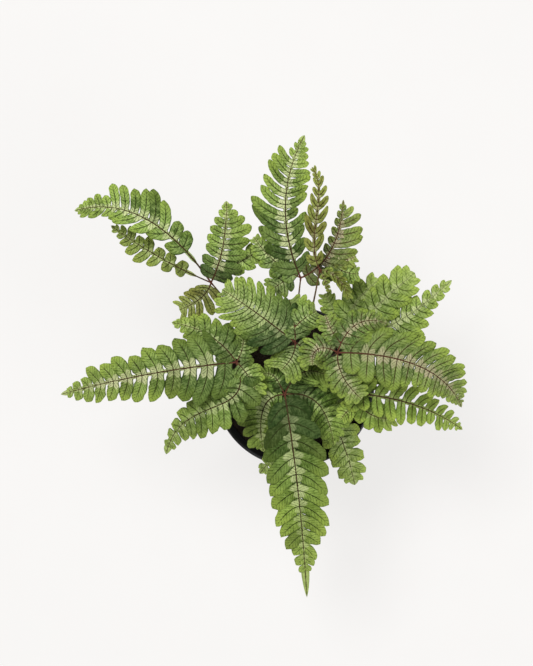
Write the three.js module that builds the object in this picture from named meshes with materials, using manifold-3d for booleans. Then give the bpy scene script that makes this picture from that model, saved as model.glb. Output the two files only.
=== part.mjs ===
// A potted striped brake fern: a round nursery pot, its soil, the crown of the fern
// and ten fronds, each a wiry stipe that carries a hand of lobed pinnae.
// Millimetres, +Z up. The origin is the centre of the pot's base, where it stands.
import * as THREE from "three";
import { mergeVertices } from "three/addons/utils/BufferGeometryUtils.js";
import Module from "manifold-3d";

const wasm = await Module();
wasm.setup();

// Pot
const POT_HEIGHT = 105;
const POT_RIM_RADIUS = 60;
const POT_BASE_RADIUS = 42;
const POT_WALL = 1.6;
const POT_FLOOR = 2.4;
const POT_BAND_HEIGHT = 9;
const POT_BAND_OUT = 1.8;
const POT_LIP_RADIUS = 1.3;
const POT_LIP_DEPTH = 6;
const POT_LIP_STEPS = 3;
const POT_FOOT_BEVEL = 1.5;
const POT_BAND_BEVEL = [0.6, 1.2];
const POT_SIDES = 32;
const DRAIN_HOLES = 6;
const DRAIN_RADIUS = 4;
const DRAIN_CIRCLE = 27;
const DRAIN_SIDES = 10;

// Soil and crown. The crown's section is [radius, height] from its underside to its top.
const CLEARANCE = 0.3;
const SOIL_TOP = 92;
const SOIL_MOUND = 3;
const SOIL_LUMP = 1.6;
const SOIL_RINGS = 5;
const SOIL_WALL_GAP = 0.5;
const SOIL_HOLE_GAP = 0.6;
const SOIL_HOLE_SIDES = 24;
const SOIL_SEED = 11;
const CROWN_AT = [-1, 9];
const CROWN_RADIUS = 16;
const CROWN_FOOT = 78;
const CROWN_SECTION = [[0, 78], [14, 78], [16, 81], [15, 90], [10, 93], [0, 94]];
const CROWN_SIDES = 14;
const BUD_TOP_RADIUS = 2.6;
const BUD_FOOT_RADIUS = 3.4;
const BUD_HEIGHT = 8;
const BUD_MIDDLE = 92;
const BUD_SIDES = 6;
const SOCKET_FLOOR = 84;

// Stipes and blades. A stipe's route passes these [share of its run, share of its rise].
const STIPE_ROUTE = [[0, 0], [0.06, 0.42], [0.5, 0.82], [1, 1]];
const STIPE_RADIUS = 1.05;
const STIPE_SIDES = 6;
const STIPE_STEPS = 6;
const SOCKET_RADIUS = (STIPE_RADIUS + CLEARANCE) / Math.cos(Math.PI / STIPE_SIDES);
const HUB_RADIUS = 2.6;
const BLADE_THICKNESS = 0.8;
const RIB_HALF_WIDTH = 0.9;
const WING = 1.5;
const WING_LEAST = 0.6;
const WING_SHARE = 0.3;
const BARE_LENGTH = 2.4;
const TAIL = 0.96;
const TAIL_CROWDING = 1.3;
const TAIL_WIDENS = 0.85;
const TAIL_HALF = 0.6;
const TAIL_MIDDLE = 0.4;
const LOBE_LEAST = 0.9;
const LOBE_VARIES = 0.18;
const LOBE_LEAN = [68, 44];
const LOBE_ARC = 1.6;
const LOBE_SAG = 0.26;
const LOBE_SHOULDER = 0.8;
const LOBE_HALF_WIDTH = 0.52;
const LOBE_NARROWEST = 0.8;
const LOBE_BROADEST = 1.3;
const SMALL_LOBE = 8;
const SMALL_LOBE_SHOULDER = 0.95;
const INNER_REACH = 0.8;
const FOLD = 9;
const TURN_STEP = 0.02;
const BLADE_SEED = 100;

// Solids
const MERGE_DISTANCE = 1e-3;
const FACET_TOLERANCE = 0.01;
const CUT_PAST = 1;
const DRAW_MULTIPLIER = 1664525;
const DRAW_STEP = 1013904223;
const DRAW_RANGE = 2 ** 32;

// Fronds. The foot is where the stipe leaves the crown (x, y) and the hub is where the
// pinnae meet (x, y, z). A pinna runs from the hub, or from a fraction of the way along an
// earlier pinna, past its bends to its tip. Left and right hold how far each lobe of that side
// reaches out from the midrib, from the root to the tip. A plainer pinna has widths instead, at
// equal shares from root to tip, and lobes on each side, with a shorter side's share of them.
// Lean is the angle between the lobes and the midrib at the root and at the tip. Slender scales
// the breadth of the lobes. The lobes end at tail, a fraction of the midrib, and the plain point
// beyond them is tailHalf wide to each side. Fold is the angle that both sides are raised, and
// bareLength is how much of the midrib at the root has no lobes.
const FRONDS = [
  {
    name: "front", foot: [-5, 4], hub: [-8, -3, 185],
    pinnae: [
      {
        tip: [9, -155, 125], bends: [[3, -69, 200]],
        left: [15.5, 20.5, 22.5, 24, 20.5, 21, 20, 16.5, 12.5, 8.5, 6.5, 4],
        right: [15.5, 20, 21.5, 21.5, 20.5, 20, 18.5, 15.7, 13, 7.5, 6.5, 4], lean: [57, 45],
        tail: 0.87, tailHalf: 3.2,
      },
      { tip: [-23, -46, 150], bends: [[-31, -3, 189]], widths: [13, 20, 21, 17, 10, 2], lobes: 8 },
      { tip: [28, -42, 145], bends: [[22, 2, 183]], widths: [12, 17, 18, 16, 9, 2], lobes: 8 },
      { tip: [-25, 11, 178], bends: [[-13, 7, 188], [-15, 14, 186]], widths: [8, 10, 9, 5], lobes: 5 },
      {
        tip: [23, 10, 180], bends: [[-3, 10, 190], [6, 19, 190]], widths: [10, 16, 17, 13, 6],
        lobes: 7, left: 0.3,
      },
    ],
  },
  {
    name: "left", foot: [-11, 9], hub: [-42, 20, 200],
    pinnae: [
      {
        tip: [-170, -4, 153], bends: [[-102, 15, 213]],
        left: [25, 27, 23.5, 20, 19.5, 17.5, 14.5, 13, 12.5, 10, 7, 3.5],
        right: [27, 23.5, 22, 19, 19.5, 15, 17, 13.5, 14, 7, 5.5, 3], lean: [70, 50], slender: 0.94,
      },
      { tip: [-88, 48, 185], bends: [[-56, 43, 209]], widths: [10, 14, 13, 10, 5, 2], lobes: 7 },
      {
        tip: [-94, -48, 145], bends: [[-26, -22, 204], [-83, 0, 188]],
        left: [14, 18, 19, 18, 18, 17, 14, 10, 7, 5], right: [13, 15, 16, 15, 13, 11, 9, 6, 4, 3],
        lean: [70, 52], slender: 0.97,
      },
      { tip: [-37, 43, 193], bends: [[-36, 29, 204]], widths: [8, 11, 9, 5], lobes: 5 },
      { tip: [-27, -3, 195], bends: [[-34, 14, 204]], widths: [9, 11, 9, 5], lobes: 5 },
    ],
  },
  {
    name: "right", foot: [4, 10], hub: [28, 27, 220],
    pinnae: [
      {
        tip: [119, -13, 167], bends: [[98, 27, 231]],
        left: [15, 19, 20, 20, 19, 19, 18, 17, 15, 12, 8, 5, 3],
        right: [15, 20, 22, 23, 18, 15, 16, 15, 11, 9, 7, 5, 3], lean: [50, 40], rightLean: [84, 60],
        slender: 0.96,
      },
      { tip: [63, 47, 205], bends: [[37, 56, 230]], widths: [9, 13, 12, 8, 3], lobes: 7, left: 0.75 },
      { tip: [20, 53, 211], bends: [[23, 41, 224]], widths: [8, 9, 7, 4], lobes: 5, root: [1, 0.12] },
      { tip: [11, 18, 211], bends: [[18, 33, 223], [9, 31, 221]], widths: [8, 11, 11, 7], lobes: 6 },
      { tip: [46, -6, 197], bends: [[27, 10, 220]], widths: [10, 12, 12, 9, 4], lobes: 6 },
    ],
  },
  {
    name: "middle", foot: [-1, 13], hub: [-1, 34, 210],
    pinnae: [
      { tip: [-52, 71, 201], bends: [[-26, 54, 219]], widths: [22, 22, 20, 17, 11, 3], lobes: 10 },
      { tip: [-5, 64, 203], bends: [[-1, 49, 217]], widths: [11, 14, 12, 6], lobes: 5, left: 0.65 },
      { tip: [14, 56, 205], bends: [[6, 52, 216]], widths: [9, 11, 9, 5], lobes: 4, root: [1, 0.35] },
      { tip: [-11, 14, 201], bends: [[0, 25, 211]], widths: [11, 14, 13, 9], lobes: 5 },
      { tip: [9, 23, 202], bends: [[5, 31, 208]], widths: [6, 7, 6, 4], lobes: 4 },
    ],
  },
  {
    name: "back_left", foot: [-9, 16], hub: [-60, 76, 190],
    pinnae: [
      {
        tip: [-157, 127, 183], bends: [[-104, 140, 215]], left: [8, 9, 13, 11.5, 9, 7, 7.5, 6, 3],
        right: [11, 12, 17.5, 21, 19.5, 16.5, 17, 17, 8, 9, 7, 5.5, 3.5], lean: [47, 36],
        rightLean: [58, 74], slender: 0.84, bareLength: 22,
      },
      {
        tip: [-133, 118, 160], bends: [[-98, 92, 185]], left: [5, 7, 9, 12, 10, 7, 4, 3],
        right: [6, 7, 6, 9, 6, 8, 5, 3], slender: 0.85, bareLength: 20,
      },
      {
        tip: [-49, 133, 199], bends: [[-48, 98, 211]], left: [12, 13, 12, 12, 11, 8, 5, 3],
        right: [13, 17, 18, 18, 18, 13, 8, 4], lean: [82, 58], slender: 0.94,
      },
      { tip: [-24, 100, 189], bends: [[-40, 89, 197]], widths: [7, 9, 8, 4], lobes: 5, root: [2, 0.1] },
      {
        tip: [-83, 57, 175], bends: [[-63, 64, 189]], widths: [10, 14, 13, 8], lobes: 5, right: 0.75,
        slender: 0.86,
      },
    ],
  },
  {
    name: "back", foot: [-3, 19], hub: [3, 79, 200],
    pinnae: [
      {
        tip: [6, 180, 190], bends: [[-20, 130, 219]],
        left: [15, 17, 19, 22, 24, 18, 17, 16, 15, 13, 5, 3.5, 2],
        right: [12, 12, 13, 15, 9, 15, 15, 15, 14, 11, 9, 7, 4], lean: [58, 46], rightLean: [50, 78],
        slender: 0.82,
      },
      { tip: [-30, 108, 197], bends: [[-18, 89, 204]], widths: [8, 9, 9, 6, 3], lobes: 6 },
      { tip: [-18, 71, 191], bends: [[-9, 76, 200]], widths: [9, 10, 8, 5], lobes: 4, root: [1, 0.12] },
      {
        tip: [33, 134, 197], bends: [[30, 90, 210]], left: [8, 7, 6, 6, 5, 5, 4, 3, 2],
        right: [11, 14, 16, 17, 17, 16, 13, 7, 2], lean: [72, 40], slender: 0.88,
      },
      { tip: [42, 94, 199], bends: [[30, 89, 205]], widths: [6, 7, 6, 3], lobes: 4, root: [3, 0.4] },
      { tip: [44, 82, 195], bends: [[32, 81, 203]], widths: [7, 8, 7, 4], lobes: 4, root: [3, 0.38] },
    ],
  },
  {
    name: "young", foot: [4, 17], hub: [16, 84, 215],
    pinnae: [
      {
        tip: [10, 154, 229], bends: [[4, 104, 225], [23, 138, 240]],
        left: [6, 7, 8, 7, 6, 4.5, 3.5, 2.5, 2], right: [6, 7, 8, 8, 7, 5.5, 4, 3, 2], lean: [42, 32],
        slender: 0.66, fold: 30,
      },
      {
        tip: [37, 64, 203], bends: [[30, 83, 217]], widths: [4, 5, 4, 2], lobes: 6, lean: [45, 35],
        fold: 45,
      },
      { tip: [22, 69, 208], bends: [[21, 76, 214]], widths: [3, 3, 2, 1], lobes: 4, fold: 45 },
    ],
  },
  {
    name: "right_back", foot: [9, 9], hub: [40, 41, 170],
    pinnae: [
      {
        tip: [114, 79, 147], bends: [[63, 34, 177]], left: [9, 12, 14, 14, 13, 11, 8, 6, 5, 4],
        right: [12, 16, 19, 17, 18, 14, 10, 7, 5, 4], lean: [56, 46], slender: 0.96,
      },
      { tip: [86, 84, 160], bends: [[51, 55, 181]], widths: [11, 15, 15, 12, 6], lobes: 6 },
      { tip: [60, 79, 167], bends: [[30, 55, 181]], widths: [10, 13, 12, 6], lobes: 5 },
      { tip: [21, 69, 167], bends: [[27, 55, 177]], widths: [8, 9, 7, 4], lobes: 5 },
    ],
  },
  {
    name: "lower_right", foot: [6, 4], hub: [40, -2, 187],
    pinnae: [
      {
        tip: [122, -30, 145], bends: [[87, -5, 195]], left: [12, 14, 14, 13, 11, 10, 8.5, 7, 5, 3],
        right: [12, 15, 16, 17, 14, 13, 9, 10, 8, 5, 3], lean: [56, 48], rightLean: [76, 60],
        slender: 0.78,
      },
      { tip: [72, -20, 161], bends: [[51, -24, 179]], widths: [8, 11, 10, 5], lobes: 6 },
      { tip: [32, -21, 177], bends: [[38, -10, 185]], widths: [6, 7, 6, 3], lobes: 4, root: [1, 0.28] },
      { tip: [63, 13, 179], bends: [[49, 7, 191]], widths: [7, 8, 7, 3], lobes: 4 },
    ],
  },
  {
    name: "low_front", foot: [0, 1], hub: [14, -10, 150],
    pinnae: [
      { tip: [45, -73, 113], bends: [[32, -19, 157]], widths: [10, 14, 15, 12, 5], lobes: 8 },
      { tip: [-26, -64, 120], bends: [[-7, -37, 149]], widths: [5, 7, 6, 3], lobes: 6 },
      { tip: [42, -14, 141], bends: [[29, -7, 152]], widths: [7, 8, 7, 3], lobes: 4 },
    ],
  },
];

const PLASTIC = { color: 0x1b1d20, roughness: 0.45, metalness: 0 };
const SOIL = { color: 0x2b211a, roughness: 0.95, metalness: 0 };
const CROWN = { color: 0x3a2a1d, roughness: 0.9, metalness: 0 };
const STIPE = { color: 0x5a3024, roughness: 0.55, metalness: 0 };
const GREEN = { color: 0x5d8a3c, roughness: 0.6, metalness: 0 };
const YOUNG_GREEN = { color: 0x8a7a4a, roughness: 0.6, metalness: 0 };

const UP = new THREE.Vector3(0, 0, 1);

function solidFrom(geometry) {
  const bare = geometry.clone();
  bare.deleteAttribute("normal");
  bare.deleteAttribute("uv");
  const merged = mergeVertices(bare, MERGE_DISTANCE);
  return new wasm.Manifold(new wasm.Mesh({
    numProp: 3,
    vertProperties: new Float32Array(merged.attributes.position.array),
    triVerts: new Uint32Array(merged.index.array),
  }));
}

function geometryFrom(solid) {
  const mesh = solid.getMesh();
  const geometry = new THREE.BufferGeometry();
  geometry.setAttribute("position", new THREE.BufferAttribute(mesh.vertProperties, 3));
  geometry.setIndex(new THREE.BufferAttribute(mesh.triVerts, 1));
  geometry.computeVertexNormals();
  return geometry;
}

function lathe(profile, sides) {
  const geometry = new THREE.LatheGeometry(profile.map(([r, z]) => new THREE.Vector2(r, z)), sides);
  return geometry.rotateX(Math.PI / 2);
}

function ngon(radius, sides) {
  const shape = new THREE.Shape();
  for (let i = 0; i < sides; i += 1) {
    const angle = (2 * Math.PI * i) / sides;
    const point = [radius * Math.cos(angle), radius * Math.sin(angle)];
    if (i === 0) {
      shape.moveTo(...point);
    } else {
      shape.lineTo(...point);
    }
  }
  shape.closePath();
  return shape;
}

function prism(radius, sides, [x, y], low, high) {
  const settings = { depth: high - low, bevelEnabled: false };
  return new THREE.ExtrudeGeometry(ngon(radius, sides), settings).translate(x, y, low);
}

function tube(path, radius, steps) {
  return new THREE.ExtrudeGeometry(ngon(radius, STIPE_SIDES), { steps, extrudePath: path });
}

// A repeatable sequence of draws between 0 and 1.
function draws(seed) {
  let state = seed;
  return () => {
    state = (state * DRAW_MULTIPLIER + DRAW_STEP) % DRAW_RANGE;
    return state / DRAW_RANGE;
  };
}

// Pot: a tapered cup with a turned-out band and a rolled lip, and drain holes in its floor.

function potSolid() {
  const bandFoot = POT_HEIGHT - POT_BAND_HEIGHT;
  const taper = (POT_RIM_RADIUS - POT_BAND_OUT - POT_BASE_RADIUS) / POT_HEIGHT;
  const outside = (z) => POT_BASE_RADIUS + taper * z;
  const lipMiddle = [POT_RIM_RADIUS - POT_LIP_RADIUS, POT_HEIGHT - POT_LIP_RADIUS];
  const lip = [];
  for (let i = 0; i <= POT_LIP_STEPS; i += 1) {
    const angle = (i * Math.PI) / POT_LIP_STEPS;
    lip.push([
      lipMiddle[0] + POT_LIP_RADIUS * Math.cos(angle),
      lipMiddle[1] + POT_LIP_RADIUS * Math.sin(angle),
    ]);
  }
  const profile = [
    [0, 0],
    [POT_BASE_RADIUS - POT_FOOT_BEVEL, 0],
    [POT_BASE_RADIUS, POT_FOOT_BEVEL],
    [outside(bandFoot), bandFoot],
    [POT_RIM_RADIUS - POT_BAND_BEVEL[0], bandFoot + POT_BAND_BEVEL[1]],
    ...lip,
    [outside(POT_HEIGHT - POT_LIP_DEPTH) - POT_WALL, POT_HEIGHT - POT_LIP_DEPTH],
    [outside(POT_FLOOR) - POT_WALL, POT_FLOOR],
    [0, POT_FLOOR],
  ];
  let cup = solidFrom(lathe(profile, POT_SIDES));
  for (let i = 0; i < DRAIN_HOLES; i += 1) {
    const angle = (2 * Math.PI * i) / DRAIN_HOLES;
    const at = [DRAIN_CIRCLE * Math.cos(angle), DRAIN_CIRCLE * Math.sin(angle)];
    const drill = prism(DRAIN_RADIUS, DRAIN_SIDES, at, -CUT_PAST, POT_FLOOR + CUT_PAST);
    cup = cup.subtract(solidFrom(drill));
  }
  return { cup, inside: (z) => outside(z) - POT_WALL };
}

// Soil: fills the cup to below its lip, with a low uneven mound and a plain hole for the crown.

function soilSolid(inside) {
  const draw = draws(SOIL_SEED);
  const low = POT_FLOOR + CLEARANCE;
  const points = [[0, 0, low]];
  const ring = (radius, heightAt) => {
    for (let i = 0; i < POT_SIDES; i += 1) {
      const angle = (2 * Math.PI * i) / POT_SIDES;
      points.push([radius * Math.cos(angle), radius * Math.sin(angle), heightAt()]);
    }
  };
  ring(inside(low) - SOIL_WALL_GAP, () => low);
  ring(inside(SOIL_TOP) - SOIL_WALL_GAP, () => SOIL_TOP);
  for (let k = 1; k < SOIL_RINGS; k += 1) {
    const share = 1 - k / SOIL_RINGS;
    const mound = SOIL_TOP + SOIL_MOUND * (1 - share * share);
    ring((inside(SOIL_TOP) - SOIL_WALL_GAP) * share, () => mound + SOIL_LUMP * (draw() - 0.5));
  }
  points.push([0, 0, SOIL_TOP + SOIL_MOUND]);
  const triangles = [];
  for (let i = 0; i < POT_SIDES; i += 1) {
    const next = (i + 1) % POT_SIDES;
    triangles.push(0, 1 + next, 1 + i);
    for (let k = 0; k < SOIL_RINGS; k += 1) {
      const here = 1 + k * POT_SIDES;
      const above = here + POT_SIDES;
      triangles.push(here + i, here + next, above + next, here + i, above + next, above + i);
    }
    const last = 1 + SOIL_RINGS * POT_SIDES;
    triangles.push(last + i, last + next, points.length - 1);
  }
  const geometry = new THREE.BufferGeometry();
  geometry.setAttribute("position", new THREE.BufferAttribute(new Float32Array(points.flat()), 3));
  geometry.setIndex(triangles);
  const holeRadius = CROWN_RADIUS + SOIL_HOLE_GAP;
  const hole = prism(holeRadius, SOIL_HOLE_SIDES, CROWN_AT, CROWN_FOOT - CLEARANCE, POT_HEIGHT);
  return solidFrom(geometry).subtract(solidFrom(hole));
}

// Crown: a short knotted rootstock with a bud under each stipe, and a plain socket in each bud.

function crownSolid() {
  let crown = solidFrom(lathe(CROWN_SECTION, CROWN_SIDES).translate(...CROWN_AT, 0));
  for (const { foot } of FRONDS) {
    const bud = new THREE.CylinderGeometry(BUD_TOP_RADIUS, BUD_FOOT_RADIUS, BUD_HEIGHT, BUD_SIDES);
    bud.rotateX(Math.PI / 2).translate(...foot, BUD_MIDDLE);
    crown = crown.add(solidFrom(bud));
  }
  for (const frond of FRONDS) {
    const socket = stipePath(frond, SOCKET_FLOOR - CLEARANCE);
    crown = crown.subtract(solidFrom(tube(socket, SOCKET_RADIUS, STIPE_STEPS)));
  }
  return crown;
}

// Stipe: rises steeply from its socket and arches outward to the hub.

function stipePath({ foot, hub }, floor = SOCKET_FLOOR) {
  const points = STIPE_ROUTE.map(([run, rise]) => new THREE.Vector3(
    foot[0] + run * (hub[0] - foot[0]),
    foot[1] + run * (hub[1] - foot[1]),
    floor + rise * (hub[2] - floor),
  ));
  return new THREE.CubicBezierCurve3(...points);
}

// Blade: lobed pinnae that meet at the hub.

function pinnaRoutes({ hub, pinnae }) {
  const routes = [];
  for (const { tip, bends, root } of pinnae) {
    const start = root ? routes[root[0]].getPoint(root[1]) : new THREE.Vector3(...hub);
    const points = [start, ...bends.map((bend) => new THREE.Vector3(...bend)), new THREE.Vector3(...tip)];
    routes.push(points.length === 3
      ? new THREE.QuadraticBezierCurve3(...points)
      : new THREE.CubicBezierCurve3(...points));
  }
  return routes;
}

// The midrib's place at t with its forward, right and upward directions, and how fast it turns right.
function midribFrame(route, t) {
  const at = route.getPoint(t);
  const forward = route.getTangent(t);
  const right = new THREE.Vector3().crossVectors(forward, UP).normalize();
  const up = new THREE.Vector3().crossVectors(right, forward);
  const before = Math.max(0, t - TURN_STEP);
  const after = Math.min(1, t + TURN_STEP);
  const bend = route.getTangent(after).sub(route.getTangent(before));
  const turn = bend.dot(right) / route.getPoint(after).distanceTo(route.getPoint(before));
  return { at, forward, right, up, turn };
}

// The value at a place in a row of values, which may lie between two of them.
function between(values, place) {
  const at = THREE.MathUtils.clamp(place, 0, values.length - 1);
  const i = Math.min(values.length - 2, Math.floor(at));
  return values[i] + (at - i) * (values[i + 1] - values[i]);
}

// How far each lobe of a side reaches out from the midrib, from the root to the tip.
function sideReaches({ widths, lobes }, given = 1, draw) {
  if (Array.isArray(given)) {
    return given;
  }
  const reaches = [];
  for (let i = 0; i < lobes; i += 1) {
    const full = between(widths, ((i + 0.5) / lobes) * (widths.length - 1));
    reaches.push(full * given * (LOBE_LEAST + LOBE_VARIES * draw()));
  }
  return reaches;
}

// The slope of a lobe's arc to the midrib: how far forward it ends for each millimetre out.
function lobeSlope(lean, share) {
  return 1 / Math.tan(THREE.MathUtils.degToRad(between(lean, share)));
}

// A closed sheet: the same triangles on both faces and a wall along every free edge.
function sheet(points, ups, triangles) {
  const vertices = [];
  for (const side of [0.5, -0.5]) {
    points.forEach((point, i) => {
      vertices.push(...point.clone().addScaledVector(ups[i], side * BLADE_THICKNESS).toArray());
    });
  }
  const under = points.length;
  const edges = new Set();
  const faces = [];
  for (const [a, b, c] of triangles) {
    faces.push(a, b, c, under + a, under + c, under + b);
    for (const edge of [[a, b], [b, c], [c, a]]) {
      edges.add(edge.join());
    }
  }
  for (const edge of edges) {
    const [a, b] = edge.split(",").map(Number);
    if (!edges.has(`${b},${a}`)) {
      faces.push(a, under + a, under + b, a, under + b, b);
    }
  }
  const geometry = new THREE.BufferGeometry();
  geometry.setAttribute("position", new THREE.BufferAttribute(new Float32Array(vertices), 3));
  geometry.setIndex(faces);
  return geometry;
}

function pinnaSheet(route, pinna, draw) {
  const { lean = LOBE_LEAN, slender = 1, tail = TAIL } = pinna;
  const { fold = FOLD, bareLength = BARE_LENGTH } = pinna;
  const sides = [
    { side: -1, reaches: sideReaches(pinna, pinna.left, draw), lean },
    { side: 1, reaches: sideReaches(pinna, pinna.right, draw), lean: pinna.rightLean ?? lean },
  ];
  const bare = bareLength / route.getLength();
  const station = (i, lobes) => bare + (tail - bare) * (1 - (1 - i / lobes) ** TAIL_CROWDING);
  const foldAngle = THREE.MathUtils.degToRad(fold);
  const sag = LOBE_SAG / Math.max(...sides.flatMap(({ reaches }) => reaches));
  const widthAt = (share) => Math.max(
    ...sides.map(({ reaches }) => between(reaches, share * reaches.length - 0.5)),
  );
  const { tailHalf = TAIL_HALF * widthAt(1) } = pinna;
  const points = [];
  const ups = [];
  const triangles = [];

  // A point out from the midrib and forward along it, on the right for side 1, the left for -1.
  const place = (frame, side, out, ahead) => {
    const point = frame.at.clone()
      .addScaledVector(frame.right, side * out * Math.cos(foldAngle))
      .addScaledVector(frame.forward, ahead)
      .addScaledVector(frame.up, out * Math.sin(foldAngle) - sag * out * out);
    points.push(point);
    ups.push(frame.up);
    return points.length - 1;
  };

  // The strip along the midrib, point by point on whichever side comes next.
  const strip = [];
  for (const { side, reaches } of sides) {
    for (let i = 0; i <= reaches.length; i += 1) {
      const share = i / reaches.length;
      const widening = Math.max(0, share - TAIL_WIDENS) / (1 - TAIL_WIDENS);
      const usual = Math.min(WING, Math.max(WING_LEAST, WING_SHARE * widthAt(share)));
      const half = THREE.MathUtils.lerp(usual, tailHalf, widening);
      strip.push({ side, t: station(i, reaches.length), half });
    }
    strip.push({ side, t: THREE.MathUtils.lerp(tail, 1, TAIL_MIDDLE), half: tailHalf });
  }
  strip.sort((a, b) => a.t - b.t);
  const start = midribFrame(route, 0);
  const last = { [-1]: place(start, -1, RIB_HALF_WIDTH, 0), 1: place(start, 1, RIB_HALF_WIDTH, 0) };
  const edges = { [-1]: [], 1: [] };
  for (const { side, t, half } of strip) {
    const next = place(midribFrame(route, t), side, half, 0);
    triangles.push([last[-1], last[1], next]);
    last[side] = next;
    edges[side].push(next);
  }
  const end = place(midribFrame(route, 1), 1, 0, 0);
  triangles.push([last[-1], last[1], end]);

  for (const { side, reaches, lean: sideLean } of sides) {
    reaches.forEach((full, i) => {
      const [t0, t1] = [station(i, reaches.length), station(i + 1, reaches.length)];
      const frame = midribFrame(route, (t0 + t1) / 2);
      const pitch = route.getPoint(t0).distanceTo(route.getPoint(t1));
      const inward = side * frame.turn;
      const out = inward > 0 ? Math.min(INNER_REACH / inward, full) : full;
      const small = out < SMALL_LOBE;
      const shoulder = small ? SMALL_LOBE_SHOULDER : LOBE_SHOULDER;
      const slope = lobeSlope(sideLean, (i + 0.5) / reaches.length);
      const heading = Math.atan(slope * LOBE_ARC * shoulder ** (LOBE_ARC - 1));
      const spread = THREE.MathUtils.clamp(1 - inward * out, LOBE_NARROWEST, LOBE_BROADEST);
      const half = LOBE_HALF_WIDTH * pitch * slender * spread * Math.sqrt(Math.cos(heading));
      const across = half * Math.sin(heading);
      const along = half * Math.cos(heading);
      const middle = [shoulder * out, slope * out * shoulder ** LOBE_ARC];
      const [a, b] = edges[side].slice(i, i + 2);
      const near = place(frame, side, middle[0] + across, middle[1] - along);
      const far = place(frame, side, middle[0] - across, middle[1] + along);
      const fan = [[a, near, b], [near, far, b]];
      if (!small) {
        fan.push([near, place(frame, side, out, slope * out), far]);
      }
      triangles.push(...fan.map(([p, q, r]) => (side > 0 ? [p, q, r] : [p, r, q])));
    });
  }
  return sheet(points, ups, triangles);
}

function bladeSolid(frond, stipe, seed) {
  const draw = draws(seed);
  const middle = new THREE.Vector3(...frond.hub);
  const ball = new THREE.OctahedronGeometry(HUB_RADIUS, 1).translate(...frond.hub);
  let blade = solidFrom(ball);
  for (const [i, route] of pinnaRoutes(frond).entries()) {
    blade = blade.add(solidFrom(pinnaSheet(route, frond.pinnae[i], draw)));
  }
  const arrival = stipe.getTangent(1);
  const hole = new THREE.LineCurve3(
    middle.clone().addScaledVector(arrival, -HUB_RADIUS - CUT_PAST),
    middle.clone().addScaledVector(arrival, CLEARANCE),
  );
  blade = blade.subtract(solidFrom(tube(hole, SOCKET_RADIUS, 1))).simplify(FACET_TOLERANCE);
  return blade.decompose().sort((a, b) => b.volume() - a.volume())[0];
}

// Assembly

const fern = new THREE.Group();

function addNode(name, solid, look) {
  const mesh = new THREE.Mesh(geometryFrom(solid), new THREE.MeshStandardMaterial(look));
  mesh.name = name;
  fern.add(mesh);
}

const { cup, inside } = potSolid();
addNode("pot", cup, PLASTIC);
addNode("soil", soilSolid(inside), SOIL);

const stipePaths = FRONDS.map((frond) => stipePath(frond));
addNode("crown", crownSolid(), CROWN);

FRONDS.forEach((frond, i) => {
  const leafLook = frond.name === "young" ? YOUNG_GREEN : GREEN;
  addNode(`frond_${frond.name}_stipe`, solidFrom(tube(stipePaths[i], STIPE_RADIUS, STIPE_STEPS)), STIPE);
  addNode(`frond_${frond.name}_blade`, bladeSolid(frond, stipePaths[i], BLADE_SEED + i), leafLook);
});

export default fern;
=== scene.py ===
import math

import bmesh
import bpy
import numpy as np
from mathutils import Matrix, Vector, noise


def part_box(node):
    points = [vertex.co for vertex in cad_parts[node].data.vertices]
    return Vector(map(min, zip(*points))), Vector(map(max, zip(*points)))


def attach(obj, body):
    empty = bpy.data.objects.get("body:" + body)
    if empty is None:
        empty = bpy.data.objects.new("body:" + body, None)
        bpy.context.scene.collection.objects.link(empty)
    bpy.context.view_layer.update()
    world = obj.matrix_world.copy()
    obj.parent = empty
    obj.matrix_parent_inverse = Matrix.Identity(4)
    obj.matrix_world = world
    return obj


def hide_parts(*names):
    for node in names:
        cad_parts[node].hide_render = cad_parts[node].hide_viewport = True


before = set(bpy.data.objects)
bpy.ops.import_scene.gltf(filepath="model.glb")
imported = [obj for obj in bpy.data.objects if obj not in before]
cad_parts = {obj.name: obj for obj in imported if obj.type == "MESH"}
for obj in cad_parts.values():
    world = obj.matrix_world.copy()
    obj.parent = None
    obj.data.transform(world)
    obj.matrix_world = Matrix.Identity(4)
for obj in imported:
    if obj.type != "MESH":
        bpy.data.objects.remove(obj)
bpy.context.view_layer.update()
MM = 0.001

# Nursery pot
# Black polypropylene, blow moulded in one piece: a tapered wall, a turned-out band with a
# rolled lip, a shallow step above the foot, and six drain holes through the raised floor.

pot_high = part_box("pot")[1]
pot_top = pot_high.z
rim_radius = pot_high.x
foot_radius = 42 * MM
foot_ring = 5.5 * MM
foot_slope = 1.5 * MM
foot_hollow = 0.8 * MM
wall = 1.6 * MM
floor_thickness = 2.4 * MM
step_height = 14 * MM
step_rise = 0.8 * MM
step_out = 0.5 * MM
band_height = 9 * MM
band_out = 1.8 * MM
band_slope = 1.2 * MM
band_draft = 0.5 * MM
lip_radius = 1.3 * MM
lip_draft = 0.05 * MM
lip_turn = 15
inner_drop = 1 * MM
outer_rounding, inner_rounding = 1.1 * MM, 1.5 * MM
pot_sides = 144
drain_radius = 4 * MM
drain_circle = 27 * MM
drain_holes = 6
drain_sides = 32
axis_gap = 0.4 * MM
sharp_corner = 40
taper = (rim_radius - band_out - foot_radius) / pot_top


class Wire:
    """A value in a material: arithmetic on it adds Math nodes."""

    def __init__(self, finish, socket):
        self.finish = finish
        self.socket = socket

    def math(self, operation, *values):
        return self.finish.node("Math", {"operation": operation}, dict(enumerate(values)))

    def __add__(self, other):
        return self.math("ADD", self, other)

    def __radd__(self, other):
        return self.math("ADD", other, self)

    def __sub__(self, other):
        return self.math("SUBTRACT", self, other)

    def __rsub__(self, other):
        return self.math("SUBTRACT", other, self)

    def __mul__(self, other):
        return self.math("MULTIPLY", self, other)

    def __rmul__(self, other):
        return self.math("MULTIPLY", other, self)

    def __abs__(self):
        return self.math("ABSOLUTE", self)


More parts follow.
